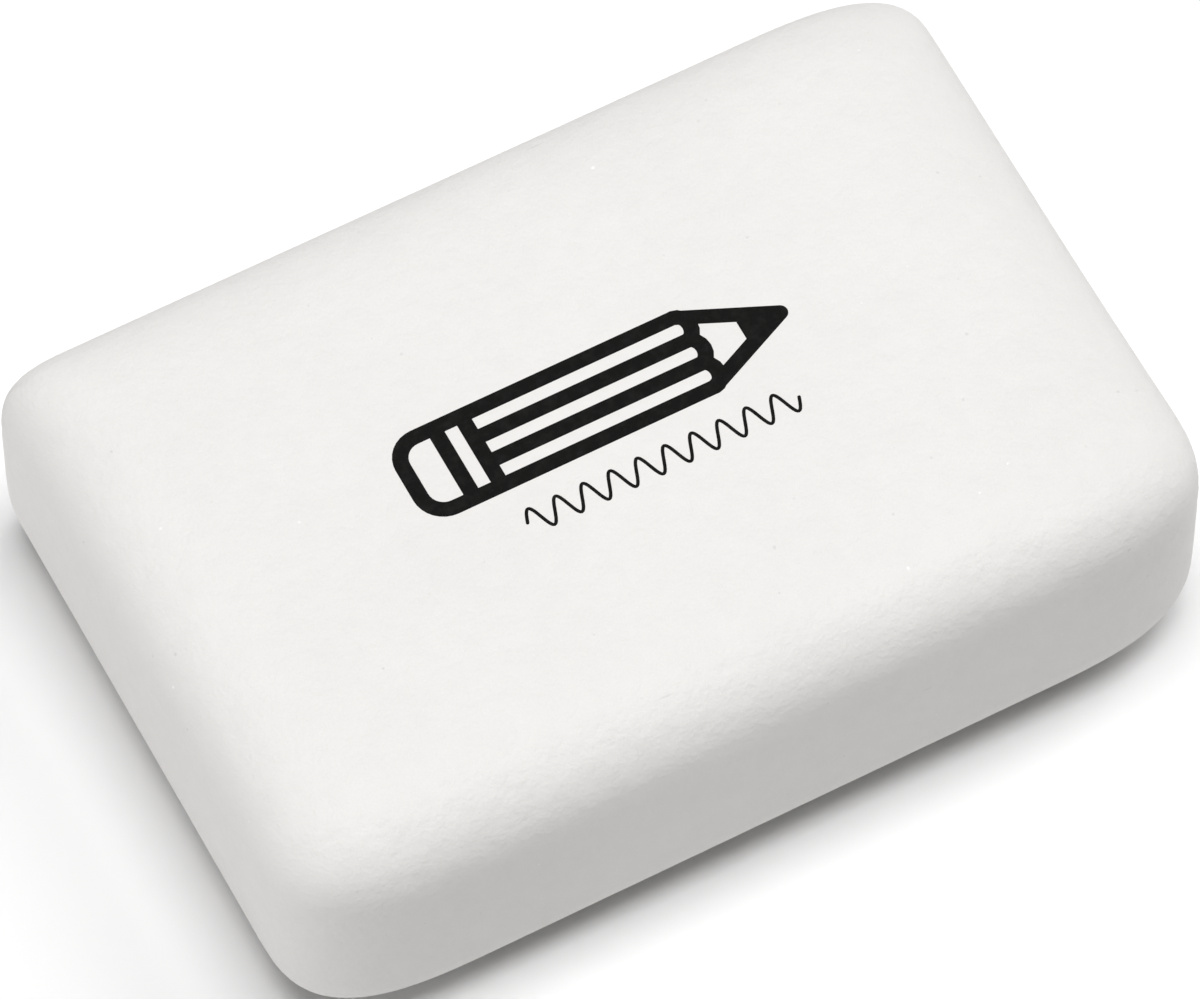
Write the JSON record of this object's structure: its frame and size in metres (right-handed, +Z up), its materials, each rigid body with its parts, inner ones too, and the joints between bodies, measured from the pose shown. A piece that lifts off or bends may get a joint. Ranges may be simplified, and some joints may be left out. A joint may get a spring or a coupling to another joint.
{
  "type": "rubber eraser",
  "caption": "Rectangular block eraser of white synthetic rubber, with softly rounded edges and corners, for rubbing out pencil lines.",
  "frame": {"origin": "middle of the broad face that the block rests on", "axes": "+X along the length, +Y across the width, +Z up through the thickness"},
  "size_m": [0.041, 0.028, 0.013],
  "materials": {
    "white_rubber": "matt",
    "print_ink": "matt"
  },
  "bodies": {
    "root": {"eraser_block": "white_rubber"}
  },
  "joints": []
}
